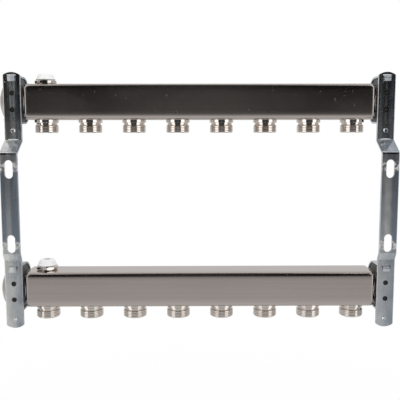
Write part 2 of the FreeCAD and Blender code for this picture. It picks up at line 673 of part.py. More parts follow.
def clamp_nodes(level, axis, end, x):
    """Strap, liner and screw that hold one neck to its bracket plate."""
    place = axis + X_DIRECTION * x
    screw_seat = place + FreeCAD.Vector(0, PLATE_FACE + STRAP_THICKNESS, SCREW_HEIGHT)
    return {
        f"{level}_{end}_clamp_strap": moved(make_strap(), place),
        f"{level}_{end}_clamp_liner": moved(make_liner(), place),
        f"{level}_{end}_clamp_screw": pointed(make_clamp_screw(), screw_seat, Y_DIRECTION),
    }


def manifold_nodes():
    bracket = make_bracket()
    nodes = {f"{end}_bracket": moved(bracket, X_DIRECTION * x) for end, x in BRACKET_X.items()}
    for level, axis in BAR_AXES.items():
        nodes.update(bar_nodes(level, axis))
        for end, x in BRACKET_X.items():
            nodes.update(clamp_nodes(level, axis, end, x))
    return nodes


os.makedirs("parts", exist_ok=True)
for name, shape in manifold_nodes().items():
    shape.exportStep(f"parts/{name}.step")
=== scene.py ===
# %% [markdown]
# # Heating manifold: the finish
# The manifold's solid pieces come ready made from the CAD model: two square bars, their outlets,
# vents, plugs, clamps and brackets. Blender adds what CAD leaves out: the finish of each surface, the
# screw threads, the weld beads, and a painted highlight: a pale line over the upper fold of each
# bracket.
# Nothing is moved or resized, so the first step is to load the frame and to note its box.

# %% Load the manifold
import json
import math

import bmesh
import bpy
from mathutils import Euler, Matrix, Vector


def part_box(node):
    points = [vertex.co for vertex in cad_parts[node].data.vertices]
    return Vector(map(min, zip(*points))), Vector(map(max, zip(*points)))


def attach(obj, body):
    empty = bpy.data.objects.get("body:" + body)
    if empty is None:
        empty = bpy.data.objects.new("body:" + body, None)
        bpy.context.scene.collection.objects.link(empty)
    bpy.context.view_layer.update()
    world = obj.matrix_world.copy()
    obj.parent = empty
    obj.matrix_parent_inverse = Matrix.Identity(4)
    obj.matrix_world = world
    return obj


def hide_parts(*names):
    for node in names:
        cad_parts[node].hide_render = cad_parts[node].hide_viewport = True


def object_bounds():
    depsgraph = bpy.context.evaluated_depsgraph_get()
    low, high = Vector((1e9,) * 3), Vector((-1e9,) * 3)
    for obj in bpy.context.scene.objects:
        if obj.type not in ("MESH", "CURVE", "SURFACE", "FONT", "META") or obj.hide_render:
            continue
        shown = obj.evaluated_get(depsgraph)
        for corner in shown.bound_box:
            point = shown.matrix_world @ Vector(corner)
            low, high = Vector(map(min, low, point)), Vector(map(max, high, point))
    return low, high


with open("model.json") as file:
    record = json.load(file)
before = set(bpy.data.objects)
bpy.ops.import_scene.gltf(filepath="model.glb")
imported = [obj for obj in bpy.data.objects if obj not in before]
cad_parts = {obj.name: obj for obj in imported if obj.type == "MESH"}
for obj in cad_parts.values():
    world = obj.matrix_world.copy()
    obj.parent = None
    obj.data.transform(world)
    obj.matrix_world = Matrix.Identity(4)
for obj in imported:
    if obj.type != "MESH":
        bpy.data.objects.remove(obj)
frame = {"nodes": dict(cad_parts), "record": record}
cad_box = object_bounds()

MM = 0.001
LEVELS = ("upper", "lower")
ENDS = ("plug_end", "inlet_end")

nodes = frame["nodes"]
record = frame["record"]


def in_mm(box):
    return [[round(value / MM, 1) for value in corner] for corner in box]


def centre(box):
    low, high = box
    return (low + high) / 2


print("loaded", len(nodes), "nodes, box in mm", in_mm(cad_box))

# %% [markdown]
# ## The camera
# The photograph looks at the wall side of the manifold, from a little above its middle. A camera could
# be placed by eye, but the outlets and the slots give a better way: their real places are known, so
# their places in the picture tell how far away the lens was and how it was turned. These values come
# from such a fit.

# %% Place the camera
CAMERA_PLACE = Vector((200.94, -665.78, 83.51)) * MM
CAMERA_YAW = math.radians(-0.497)
CAMERA_PITCH_DOWN = math.radians(6.525)
CAMERA_ROLL = math.radians(-0.07)
CAMERA_LENS = 55.43
SENSOR_WIDTH = 36.0

scene = bpy.context.scene
scene.view_settings.view_transform = "Standard"
camera = bpy.data.objects.new("camera", bpy.data.cameras.new("camera"))
camera.data.lens = CAMERA_LENS
camera.data.sensor_width = SENSOR_WIDTH
yaw = Matrix.Rotation(CAMERA_YAW, 4, "Z")
pitch = Matrix.Rotation(math.pi / 2 - CAMERA_PITCH_DOWN, 4, "X")
roll = Matrix.Rotation(CAMERA_ROLL, 4, "Z")
camera.matrix_world = Matrix.Translation(CAMERA_PLACE) @ (yaw @ pitch) @ roll
scene.collection.objects.link(camera)
scene.camera = camera
print("camera at", [round(value, 4) for value in CAMERA_PLACE], "lens", CAMERA_LENS)

# %% [markdown]
# ## Building node trees
# Materials, the world and Geometry Nodes are all trees of nodes joined by links. They could be drawn by
# hand in the editor. A script needs a few small helpers instead: one that adds a node and fills its
# inputs, some for arithmetic, and two that map a value to another range. An input takes either a plain
# value or another node's output.

# %% Helpers for node trees
def usable(sockets, name):
    """The socket of that name, or number, that the node's settings leave switched on."""
    if isinstance(name, int):
        return sockets[name]
    return next(socket for socket in sockets if socket.name == name and socket.enabled)


def add_node(tree, kind, inputs=None, **settings):
    made = tree.nodes.new(kind)
    for name, value in settings.items():
        setattr(made, name, value)
    for name, value in (inputs or {}).items():
        socket = usable(made.inputs, name)
        if isinstance(value, bpy.types.NodeSocket):
            tree.links.new(value, socket)
        else:
            socket.default_value = value
    return made


print("a node and its inputs now take one line")


# %% Helpers for arithmetic
def arithmetic(tree, operation, first, second=0.0):
    made = add_node(tree, "ShaderNodeMath", {0: first, 1: second}, operation=operation)
    return made.outputs[0]


def plus(tree, first, second):
    return arithmetic(tree, "ADD", first, second)


def minus(tree, first, second):
    return arithmetic(tree, "SUBTRACT", first, second)


def times(tree, first, second):
    return arithmetic(tree, "MULTIPLY", first, second)


def ranged(tree, value, low, high, to_low=0.0, to_high=1.0):
    """A value from low to high, mapped smoothly to another range and held at its ends."""
    inputs = {"Value": value, "From Min": low, "From Max": high, "To Min": to_low, "To Max": to_high}
    made = add_node(tree, "ShaderNodeMapRange", inputs, interpolation_type="SMOOTHSTEP")
    return made.outputs["Result"]


def blended(tree, share, first, second):
    """The first number where share is 0, the second where it is 1."""
    made = add_node(tree, "ShaderNodeMix", {0: share, 2: first, 3: second}, data_type="FLOAT")
    return made.outputs[0]


print("arithmetic helpers ready")

# %% [markdown]
# ## The studio
# Bare metal has hardly any colour of its own: it shows the room. In the photograph the backdrop and the
# floor are white, two tall light panels stand left and right of the camera, and the space behind the
# camera and overhead is dark. So the upper bar's face looks black while its underside is light, and
# each round outlet has a dark band between two bright ones. Dark cards could be hung there, but they
# would show in views from the other side. So the world carries the room, by direction. Metal sees all
# of it. The camera sees plain white, and matt surfaces are lit evenly, so that colours come out as
# written.

# %% World: direction
ROOM_WHITE = (1.0, 1.0, 1.0, 1.0)

world = bpy.data.worlds.new("studio")
scene.world = world
world.use_nodes = True
world.cycles.sampling_method = "NONE"
room = world.node_tree
room.nodes.clear()
looking = add_node(room, "ShaderNodeTexCoord").outputs["Generated"]
across, depth, height = add_node(room, "ShaderNodeSeparateXYZ", {0: looking}).outputs
rise = arithmetic(room, "DEGREES", arithmetic(room, "ARCSINE", height))
turned_away = arithmetic(room, "ARCTAN2", across, times(room, depth, -1.0))
swing = arithmetic(room, "ABSOLUTE", arithmetic(room, "DEGREES", turned_away))
print("world knows the height angle and the side angle of a direction")

# %% [markdown]
# Round the room the brightness changes with the side angle, counted in degrees from behind the camera:
# a faint glow, the dark, a panel, the grey side wall and then the backdrop. Each edge is soft, so it
# has an angle where it starts and one where it ends. Adding up one step for each edge is simpler than a
# colour ramp, because every light and every angle then has a name.

# %% World: round the room
CAMERA_GLOW = 0.044
DARK_LIGHT = 0.013
PANEL_LIGHT = 1.7
SIDE_LIGHT = 0.45
BACKDROP_LIGHT = 0.74
GLOW_EDGE = (3, 11)
PANEL_NEAR_EDGE = (29, 38)
PANEL_FAR_EDGE = (60, 76)
BACKDROP_EDGE = (115, 150)

behind_camera = ranged(room, swing, *GLOW_EDGE, CAMERA_GLOW, DARK_LIGHT)
panel = ranged(room, swing, *PANEL_NEAR_EDGE, 0, PANEL_LIGHT - DARK_LIGHT)
panel_end = ranged(room, swing, *PANEL_FAR_EDGE, 0, SIDE_LIGHT - PANEL_LIGHT)
backdrop = ranged(room, swing, *BACKDROP_EDGE, 0, BACKDROP_LIGHT - SIDE_LIGHT)
wall = plus(room, plus(room, behind_camera, panel), plus(room, panel_end, backdrop))
print("wall lights: dark", DARK_LIGHT, "panels", PANEL_LIGHT, "backdrop", BACKDROP_LIGHT)

# %% [markdown]
# With height, the dark ceiling takes over from the wall: at about fifty degrees in front, and elsewhere
# only when nearly overhead. Below the horizon the floor takes over, sooner in front than at the sides.

# %% World: ceiling and ground
CEILING_LIGHT = 0.05
ZENITH_LIGHT = 0.14
ZENITH_EDGE = (76, 90)
CEILING_FRONT_EDGE = (42, 60)
CEILING_SIDE_EDGE = (64, 86)
CEILING_FRONT_END = (28, 45)
GROUND_NEAR_LIGHT = 0.72
GROUND_FAR_LIGHT = 0.54
GROUND_FADE = (-30, -12)
GROUND_FRONT_EDGE = (4, -17)
GROUND_SIDE_EDGE = (-5, -36)
GROUND_FRONT_END = (28, 40)

ceiling = ranged(room, rise, *ZENITH_EDGE, CEILING_LIGHT, ZENITH_LIGHT)
front_share = ranged(room, rise, *CEILING_FRONT_EDGE)
side_share = ranged(room, rise, *CEILING_SIDE_EDGE)
to_side = ranged(room, swing, *CEILING_FRONT_END)
upper_room = blended(room, blended(room, to_side, front_share, side_share), wall, ceiling)

ground = ranged(room, rise, *GROUND_FADE, GROUND_NEAR_LIGHT, GROUND_FAR_LIGHT)
front_share = ranged(room, rise, *GROUND_FRONT_EDGE)
side_share = ranged(room, rise, *GROUND_SIDE_EDGE)
to_side = ranged(room, swing, *GROUND_FRONT_END)
reflected = blended(room, blended(room, to_side, front_share, side_share), upper_room, ground)
print("ceiling", CEILING_LIGHT, "to", ZENITH_LIGHT, "ground", GROUND_FAR_LIGHT, "to", GROUND_NEAR_LIGHT)

# %% [markdown]
# The kind of ray then decides what it meets: the plain white, the room, or the even light. A Light Path
# node tells the rays apart.

# %% World: what each ray sees
EVEN_LIGHT = 0.95


def ray_kinds(tree):
    """Two switches: 1 for a ray straight from the camera, 1 for a ray off metal or through glass."""
    rays = add_node(tree, "ShaderNodeLightPath").outputs
    mirrored = arithmetic(tree, "MAXIMUM", rays["Is Glossy Ray"], rays["Is Transmission Ray"])
    return rays["Is Camera Ray"], mirrored


is_camera, is_mirrored = ray_kinds(room)
shows_room = arithmetic(room, "MAXIMUM", is_camera, is_mirrored)
visible = blended(room, is_camera, reflected, 1.0)
strength = blended(room, shows_room, EVEN_LIGHT, visible)
background = add_node(room, "ShaderNodeBackground", {"Color": ROOM_WHITE, "Strength": strength})
add_node(room, "ShaderNodeOutputWorld", {"Surface": background.outputs[0]})
print("world nodes:", len(room.nodes))

# %% [markdown]
# The floor is a pale disc below the manifold. A plane would do too, but its corners would show in some
# views, and a disc has none.

# %% Floor disc
FLOOR_DROP = 300 * MM
FLOOR_RADIUS = 1050 * MM
FLOOR_SEGMENTS = 96

middle = centre(cad_box)
floor_height = cad_box[0].z - FLOOR_DROP
floor_mesh = bpy.data.meshes.new("floor")
disc = bmesh.new()
bmesh.ops.create_circle(disc, cap_ends=True, segments=FLOOR_SEGMENTS, radius=FLOOR_RADIUS)
bmesh.ops.translate(disc, verts=disc.verts, vec=(middle.x, middle.y, floor_height))
disc.to_mesh(floor_mesh)
disc.free()
floor = bpy.data.objects.new("floor", floor_mesh)
scene.collection.objects.link(floor)
print("floor at height", round(floor_height / MM), "mm")

# %% [markdown]
# A white floor under a lamp is never quite the white of the background. So the camera sees most of the
# disc as plain white, fading to all white at its rim, and the rest as real paint that keeps the soft
# shadow. Metal sees more of the paint, and the plain part toned down, as on a floor whose light falls
# off below the object.

# %% Floor paint
FLOOR_PAINT = (0.86, 0.86, 0.86, 1.0)
FLOOR_PLAIN_SHARE = 0.9
FLOOR_MIRROR_SHARE = 0.6
FLOOR_MIRROR_LIGHT = 0.5
FLOOR_FADE = (0.5 * FLOOR_RADIUS, 0.97 * FLOOR_RADIUS)

floor_material = bpy.data.materials.new("pale_floor")
floor_material.use_nodes = True
tree = floor_material.node_tree
tree.nodes.clear()
spot = add_node(tree, "ShaderNodeTexCoord").outputs["Object"]
inputs = {0: spot, 1: tuple(middle)}
away = add_node(tree, "ShaderNodeVectorMath", inputs, operation="DISTANCE").outputs["Value"]
plain = ranged(tree, away, *FLOOR_FADE, FLOOR_PLAIN_SHARE, 1.0)
is_camera, is_mirrored = ray_kinds(tree)
seen = arithmetic(tree, "MAXIMUM", is_camera, times(tree, is_mirrored, FLOOR_MIRROR_SHARE))
paint = add_node(tree, "ShaderNodeBsdfDiffuse", {"Color": FLOOR_PAINT}).outputs[0]
brightness = blended(tree, is_mirrored, 1.0, FLOOR_MIRROR_LIGHT)
inputs = {"Color": ROOM_WHITE, "Strength": brightness}
glow = add_node(tree, "ShaderNodeEmission", inputs).outputs[0]
mixed = add_node(tree, "ShaderNodeMixShader", {0: times(tree, plain, seen), 1: paint, 2: glow})
add_node(tree, "ShaderNodeOutputMaterial", {"Surface": mixed.outputs[0]})
floor.data.materials.append(floor_material)
print("floor paint has", len(tree.nodes), "nodes")

# %% [markdown]
# One lamp is enough on top of that: a large soft box overhead, for the shadow on the floor and a little
# shape on the matt pieces. It is kept out of reflections, because the room overhead looks dark in them.

# %% Lamp
SOFT_BOX_SIZE = 1.2
SOFT_BOX_WATTS = 3.0
SOFT_BOX_PLACE = middle + Vector((0.1, -0.25, 1.3))

lamp = bpy.data.lights.new("overhead_soft_box", "AREA")
lamp.shape = "DISK"
lamp.size = SOFT_BOX_SIZE
lamp.energy = SOFT_BOX_WATTS
overhead = bpy.data.objects.new("overhead_soft_box", lamp)
overhead.location = SOFT_BOX_PLACE
overhead.rotation_mode = "QUATERNION"
overhead.rotation_quaternion = (middle - SOFT_BOX_PLACE).to_track_quat("-Z", "Y")
overhead.visible_glossy = False
scene.collection.objects.link(overhead)
print("lamp", overhead.name, lamp.energy, "W")

# %% [markdown]
# ## Finishes
# Every finish below is a Principled shader fed by noise on Object coordinates, which are true to the
# millimetre here because the pieces are never scaled. Noise that is stretched along one axis gives the
# grain of brushing, rolling or turning; round noise gives clouds, wear and flecks. Painted images could
# do the same, but they would need unwrapping, and noise has no seams.

# %% Helpers for finishes
FINISHES = {}


def new_finish(name, metallic=0.0, anisotropic=0.0):
    made = bpy.data.materials.new(name)
    made.use_nodes = True
    shader = made.node_tree.nodes["Principled BSDF"]
    shader.inputs["Metallic"].default_value = metallic
    shader.inputs["Anisotropic"].default_value = anisotropic
    return made, made.node_tree, shader


def keep_finish(use, made):
    """File a finish under the material slot, or the kind of piece, that it is for."""
    FINISHES[use] = made
    print(use, "is", made.name, "with", len(made.node_tree.nodes), "nodes")


print("finishes are filed by use")

# %% Helpers for noise
NOISE_SPAN = (0.3, 0.7)


def noise(tree, per_metre, detail=2.0, roughness=0.5):
    """Noise on the piece's own coordinates, with that many features per metre along each axis."""
    coordinates = add_node(tree, "ShaderNodeTexCoord").outputs["Object"]
    inputs = {"Vector": coordinates, "Scale": per_metre}
    mapped = add_node(tree, "ShaderNodeMapping", inputs).outputs[0]
    inputs = {"Vector": mapped, "Scale": 1.0, "Detail": detail, "Roughness": roughness}
    return add_node(tree, "ShaderNodeTexNoise", inputs).outputs["Fac"]


def spread(tree, field, to_low, to_high):
    """Noise, which seldom leaves its span, mapped to another range."""
    return ranged(tree, field, *NOISE_SPAN, to_low, to_high)


def tint(tree, factor, dull, bright):
    """A colour from dull, where the factor is 0, to bright, where it is 1."""
    inputs = {0: factor, 6: (*dull, 1), 7: (*bright, 1)}
    return add_node(tree, "ShaderNodeMix", inputs, data_type="RGBA").outputs[2]


def feed(tree, shader, colour, roughness):
    tree.links.new(colour, shader.inputs["Base Color"])
    tree.links.new(roughness, shader.inputs["Roughness"])


def bump(tree, shader, heights, strength, distance):
    inputs = {"Height": heights, "Strength": strength, "Distance": distance}
    made = add_node(tree, "ShaderNodeBump", inputs)
    tree.links.new(made.outputs[0], shader.inputs["Normal"])
    return made


print("noise is taken to lie between", *NOISE_SPAN)

# %% [markdown]
# The bars are drawn tube. Its faces are not quite flat: they turn a little before the rounded corner
# begins, so the corners' dark and light lines fade into the faces. CAD keeps the faces flat. Only the
# shading has to turn, so the finish gets the normals of a slightly swollen box instead of the true
# ones, with the same size and axes. Where the two disagree, in bores and on collars, the true normal
# stays.

# %% Swollen tube
TUBE_SQUARENESS = 9
NORMALS_AGREE = (0.5, 0.8)

tubes = {level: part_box(f"{level}_bar") for level in LEVELS}
axes = {level: centre(tube) for level, tube in tubes.items()}
tube_length, _, tube_width = tubes["upper"][1] - tubes["upper"][0]


def swollen_tube(tree):
    """Normals of a box whose faces curve towards its edges, about the axis of the bar it is on."""
    place = add_node(tree, "ShaderNodeTexCoord").outputs["Object"]
    x, y, z = add_node(tree, "ShaderNodeSeparateXYZ", {0: place}).outputs
    is_upper = arithmetic(tree, "GREATER_THAN", z, 0.0)
    along = minus(tree, x, axes["upper"].x)
    past = minus(tree, arithmetic(tree, "ABSOLUTE", along), (tube_length - tube_width) / 2)
    past = arithmetic(tree, "MAXIMUM", past, 0.0)
    past = times(tree, past, arithmetic(tree, "SIGN", along))
    out = minus(tree, y, blended(tree, is_upper, axes["lower"].y, axes["upper"].y))
    up = minus(tree, z, blended(tree, is_upper, axes["lower"].z, axes["upper"].z))
    powers = {}
    for axis, offset in enumerate((past, out, up)):
        share = arithmetic(tree, "DIVIDE", offset, tube_width / 2)
        powers[axis] = arithmetic(tree, "POWER", share, TUBE_SQUARENESS)
    raw = add_node(tree, "ShaderNodeCombineXYZ", powers).outputs[0]
    swollen = add_node(tree, "ShaderNodeVectorMath", {0: raw}, operation="NORMALIZE").outputs[0]
    true = add_node(tree, "ShaderNodeNewGeometry").outputs["Normal"]
    inputs = {0: true, 1: swollen}
    agree = add_node(tree, "ShaderNodeVectorMath", inputs, operation="DOT_PRODUCT").outputs["Value"]
    inputs = {0: ranged(tree, agree, *NORMALS_AGREE), 4: true, 5: swollen}
    mixed = add_node(tree, "ShaderNodeMix", inputs, data_type="VECTOR").outputs[1]
    return add_node(tree, "ShaderNodeVectorMath", {0: mixed}, operation="NORMALIZE").outputs[0]


print("tubes", round(tube_length / MM, 1), "mm long,", round(tube_width / MM, 1), "mm square")

# %% [markdown]
# The bars are stainless steel with a satin grain along their length. Real grooves would be finer than a
# pixel and only make noise, so a long stretched noise tints the steel a little, and the shader's
# anisotropy spreads reflections across the grain. Handling leaves sparse marks, which are rougher, so
# they catch light where the clean steel mirrors the dark.

# %% Brushed stainless steel
STEEL_DULL = (0.515, 0.46, 0.43)
STEEL_BRIGHT = (0.555, 0.50, 0.47)
STEEL_SATIN = (0.13, 0.17)
BROAD_GRAIN_SHARE = 0.3
GRAIN_SPAN = (0.35, 0.65)
NICKS_SHOW = (0.67, 0.75)
SCRATCHES_SHOW = (0.74, 0.80)
MARK_ROUGHNESS = 0.42


def brushed_stainless():
    made, tree, shader = new_finish("brushed_stainless", metallic=1.0, anisotropic=0.35)
    fine = noise(tree, (6, 1500, 1500), detail=3.0)
    broad = noise(tree, (2, 260, 260), detail=3.0)
    grain = blended(tree, BROAD_GRAIN_SHARE, fine, broad)
    nicks = noise(tree, (460, 120, 120), detail=4.0, roughness=0.6)
    nicks = ranged(tree, nicks, *NICKS_SHOW)
    scratches = noise(tree, (60, 420, 420), detail=3.0)
    scratches = ranged(tree, scratches, *SCRATCHES_SHOW)
    marks = arithmetic(tree, "MAXIMUM", nicks, scratches)
    cloud = noise(tree, (16, 28, 28), detail=4.0)
    satin = spread(tree, cloud, *STEEL_SATIN)
    colour = tint(tree, ranged(tree, grain, *GRAIN_SPAN), STEEL_DULL, STEEL_BRIGHT)
    feed(tree, shader, colour, blended(tree, marks, satin, MARK_ROUGHNESS))
    around = add_node(tree, "ShaderNodeTangent", direction_type="RADIAL", axis="X").outputs[0]
    tree.links.new(around, shader.inputs["Tangent"])
    relief = bump(tree, shader, grain, strength=0.02, distance=0.05 * MM)
    tree.links.new(swollen_tube(tree), relief.inputs["Normal"])
    return made


keep_finish("stainless", brushed_stainless())

# %% [markdown]
# The necks in the bar ends and the nickel-plated fittings are turned on a lathe. The tool leaves fine
# rings. They could be modelled, but they are too fine to see one by one, so a noise that is stretched
# round the piece's axis and fine along it stands for them.

# %% Turned stainless steel
NECK_DULL = (0.48, 0.45, 0.43)
NECK_BRIGHT = (0.62, 0.59, 0.56)
NECK_SATIN = (0.18, 0.30)


def turned_stainless():
    made, tree, shader = new_finish("turned_stainless", metallic=1.0)
    rings = noise(tree, (1900, 4, 4), detail=2.0)
    cloud = noise(tree, (40, 40, 40), detail=4.0)
    feed(tree, shader, tint(tree, rings, NECK_DULL, NECK_BRIGHT), spread(tree, cloud, *NECK_SATIN))
    bump(tree, shader, rings, strength=0.2, distance=0.05 * MM)
    return made


keep_finish("stainless_turned", turned_stainless())

# %% [markdown]
# Nickel is the same in kind, but glossier and warmer, because the brass shines through thin plating.
# The plugs lie along X, so their lathe rings do too, and handling with tools has left their heads dull.
# One function makes both, with the rings' direction and the gloss as its arguments.

# %% Nickel plate
NICKEL_WARM = (0.64, 0.57, 0.51)
NICKEL_PALE = (0.83, 0.79, 0.76)


def nickel_plate(name, rings_per_metre, smooth, worn):
    made, tree, shader = new_finish(name, metallic=1.0)
    rings = noise(tree, rings_per_metre, detail=2.0)
    cloud = noise(tree, (70, 70, 70), detail=4.0, roughness=0.6)
    feed(tree, shader, tint(tree, cloud, NICKEL_WARM, NICKEL_PALE), spread(tree, cloud, smooth, worn))
    bump(tree, shader, rings, strength=0.1, distance=0.05 * MM)
    return made


keep_finish("nickel", nickel_plate("nickel_plate", (5, 5, 2300), smooth=0.05, worn=0.10))
keep_finish("plug", nickel_plate("nickel_plate_plugs", (2300, 5, 5), smooth=0.45, worn=0.6))

# %% [markdown]
# The brackets and straps are bent from steel strip and zinc plated. The strip was rolled, so its
# streaks run lengthwise and change only across its width, along X. Light from the left is painted into
# the plating too: each strip is painted lighter towards its left edge. Both brackets are cut from the
# same strip, so the finish counts X afresh on each. Beside the wall slots the plating is paler in
# patches. All of this needs to know where on a bracket a point lies. A painted mask could tell, and so
# can a little arithmetic on its coordinates.

# %% Sizes of the brackets
def mount(name):
    return next(row for row in record["mounts"] if row["name"] == name)


bracket_low, bracket_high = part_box("plug_end_bracket")
plug_slots, inlet_slots = (mount(f"{end}_wall_slots") for end in ENDS)
STRIP_WIDTH = bracket_high.x - bracket_low.x
BRACKET_STEP = inlet_slots["pos_m"][0] - plug_slots["pos_m"][0]
SLOT_MIDDLE = plug_slots["dims"]["spacing_y_mm"] / 2 * MM
print("brackets", round(BRACKET_STEP / MM, 1), "mm apart, strips", round(STRIP_WIDTH / MM, 1), "mm wide")

# %% Places on the brackets
BETWEEN_EDGE = (9.0 * MM, -10.0 * MM)
PATCH_INNER_EDGE = (-4.5 * MM, -0.5 * MM)
PATCH_OUTER_EDGE = (9.0 * MM, 5.0 * MM)


def strip_places(tree):
    """Across: 0 at the left edge of either strip, 1 at its right edge. Along: 0 on the left bracket,
    1 on the right one. Between: 1 between the wall slots, 0 past them. Beside: 1 at the slots' outer
    halves."""
    coordinates = add_node(tree, "ShaderNodeTexCoord").outputs["Object"]
    x, _, z = add_node(tree, "ShaderNodeSeparateXYZ", {0: coordinates}).outputs
    from_edge = arithmetic(tree, "MODULO", plus(tree, x, STRIP_WIDTH / 2), BRACKET_STEP)
    across = arithmetic(tree, "DIVIDE", from_edge, STRIP_WIDTH)
    along = ranged(tree, x, 0, BRACKET_STEP)
    past_slot = minus(tree, arithmetic(tree, "ABSOLUTE", z), SLOT_MIDDLE)
    between = ranged(tree, past_slot, *BETWEEN_EDGE)
    fade_in = ranged(tree, past_slot, *PATCH_INNER_EDGE)
    fade_out = ranged(tree, past_slot, *PATCH_OUTER_EDGE)
    return across, along, between, times(tree, fade_in, fade_out)


print("places beside the slots count from", round(SLOT_MIDDLE / MM, 1), "mm above and below the middle")

# %% [markdown]
# The plating is bluish and glossy, with duller streaks, flecks and small specks that catch more of the
# side panels. The left bracket is more worn than the right one. Its plates are painted brighter than the
# right one's, as painted light from the left, and its strip between the slots is painted darker, as
# painted shade. There, both have a light streak down the middle. The straps are rougher than the
# brackets, because bending them has strained the plating.

# %% Zinc plate
ZINC_GREY = Vector((0.32, 0.365, 0.425))
ZINC_SILVER = Vector((0.83, 0.83, 0.82))
SHADE_SPAN = (0.34, 0.66)
GLOSS_SPAN = (0.36, 0.64)
SPECKS_SHOW = (0.69, 0.75)
PATCHES_SHOW = (0.42, 0.58)
ROLLED_SHARE = 0.3
PAINTED_SIDE_LIGHT_SHARE = 0.6
CLOUD_SHARE = 0.15
PAINTED_LIGHT_PLATES_LEFT_RIGHT = (1.25, 0.72)
PAINTED_SHADE_STRIPS_LEFT_RIGHT = (0.1, 0.85)
GLOSS_LEFT_RIGHT = (1.25, 0.75)
STREAK_PLACE = 0.42
STREAK_EDGE = (0.3, 0.05)
STREAK_CHANGE = (-0.25, 0.28)
SPECK_AND_PATCH_ROUGHNESS = 0.5


def zinc_plate(name, smooth, worn, shine=1.0):
    made, tree, shader = new_finish(name, metallic=1.0)
    rolled = noise(tree, (1100, 9, 9), detail=3.0)
    streak = noise(tree, (170, 7, 7), detail=3.0)
    cloud = noise(tree, (110, 60, 60), detail=5.0, roughness=0.65)
    fleck = noise(tree, (1300, 1300, 1300), detail=2.0)
    specks = noise(tree, (620, 620, 620), detail=3.0, roughness=0.6)
    patches = noise(tree, (260, 260, 260), detail=4.0)
    across, along, between, beside = strip_places(tree)
    # Paler, rougher patches in the plating beside the wall slots.
    pale_patches = times(tree, beside, ranged(tree, patches, *PATCHES_SHOW))

    shade = ranged(tree, blended(tree, ROLLED_SHARE, cloud, rolled), *SHADE_SPAN)
    # Painted light: each strip is painted lighter towards its left edge.
    shade = blended(tree, PAINTED_SIDE_LIGHT_SHARE, shade, ranged(tree, across, 1.0, 0.0))
    # Painted light and shade: the left plates brighter than the right ones, the left strip between the
    # slots darker.
    light_on_plates = blended(tree, along, *PAINTED_LIGHT_PLATES_LEFT_RIGHT)
    shade_on_strips = blended(tree, along, *PAINTED_SHADE_STRIPS_LEFT_RIGHT)
    shade = times(tree, shade, blended(tree, between, light_on_plates, shade_on_strips))
    off_streak = arithmetic(tree, "ABSOLUTE", minus(tree, across, STREAK_PLACE))
    light_streak = ranged(tree, off_streak, *STREAK_EDGE, *STREAK_CHANGE)
    shade = plus(tree, shade, times(tree, between, light_streak))
    shade = blended(tree, pale_patches, shade, 1.0)

    gloss = ranged(tree, blended(tree, CLOUD_SHARE, streak, cloud), *GLOSS_SPAN, smooth, worn)
    gloss = times(tree, gloss, blended(tree, along, *GLOSS_LEFT_RIGHT))
    dulled = arithmetic(tree, "MAXIMUM", ranged(tree, specks, *SPECKS_SHOW), pale_patches)
    colour = tint(tree, shade, shine * ZINC_GREY, shine * ZINC_SILVER)
    feed(tree, shader, colour, blended(tree, dulled, gloss, SPECK_AND_PATCH_ROUGHNESS))
    relief = blended(tree, ROLLED_SHARE, fleck, rolled)
    bump(tree, shader, relief, strength=0.12, distance=0.06 * MM)
    return made


keep_finish("zinc", zinc_plate("zinc_plate", smooth=0.09, worn=0.27))
keep_finish("strap", zinc_plate("zinc_plate_straps", smooth=0.4, worn=0.55, shine=1.2))
keep_finish("screw", zinc_plate("zinc_plate_screws", smooth=0.10, worn=0.20, shine=1.2))

# %% [markdown]
# Rubber and plastic have colour of their own, so their shaders are not metallic. The rubber liners and
# seals are black with a fine matt grain. The vent caps are white plastic with faint flow lines from
# moulding. A plain colour would nearly do, but a surface without any grain looks unreal close up.

# %% Rubber and plastic
RUBBER_DEEP = (0.004, 0.004, 0.004)
RUBBER_WORN = (0.014, 0.014, 0.013)
RUBBER_SATIN = (0.32, 0.48)
PLASTIC_DULL = (0.91, 0.91, 0.905)
PLASTIC_BRIGHT = (0.95, 0.95, 0.945)
PLASTIC_SATIN = (0.30, 0.40)


def black_rubber():
    made, tree, shader = new_finish("black_rubber")
    grain = noise(tree, (1600, 1600, 1600), detail=3.0)
    feed(tree, shader, tint(tree, grain, RUBBER_DEEP, RUBBER_WORN), spread(tree, grain, *RUBBER_SATIN))
    bump(tree, shader, grain, strength=0.25, distance=0.1 * MM)
    return made


def white_plastic():
    made, tree, shader = new_finish("white_plastic")
    flow = noise(tree, (160, 160, 320), detail=3.0)
    colour = tint(tree, flow, PLASTIC_DULL, PLASTIC_BRIGHT)
    feed(tree, shader, colour, spread(tree, flow, *PLASTIC_SATIN))
    bump(tree, shader, flow, strength=0.05, distance=0.1 * MM)
    return made


keep_finish("liner_rubber", black_rubber())
keep_finish("seal_rubber", FINISHES["liner_rubber"])
keep_finish("white_plastic", white_plastic())

# %% [markdown]
# ## Giving each piece its finish
# The record names a material slot for every node. Finishes could be dealt out piece by piece, but a
# walk through the record covers the whole object, so that no piece is forgotten. Only plugs and straps
# differ from their slot.

# %% Assign the finishes
for row in record["subparts"]:
    name = row["node"]
    use = row["material_slot"]
    if name.endswith("end_plug"):
        use = "plug"
    if name.endswith("clamp_strap"):
        use = "strap"
    slots = nodes[name].data.materials
    slots.clear()
    slots.append(FINISHES[use])
print("finishes on", len(record["subparts"]), "nodes")

# %% [markdown]
# ## Pieces from Geometry Nodes
# Threads, screws, the highlight lines and weld beads repeat, and each follows a rule, so they are grown
# by node trees. A tree is built once, with named inputs for its sizes. A piece then starts as a few
# loose points, passes through one or more trees as modifiers, and is frozen into a plain mesh, because
# the finished model keeps neither modifiers nor instances.

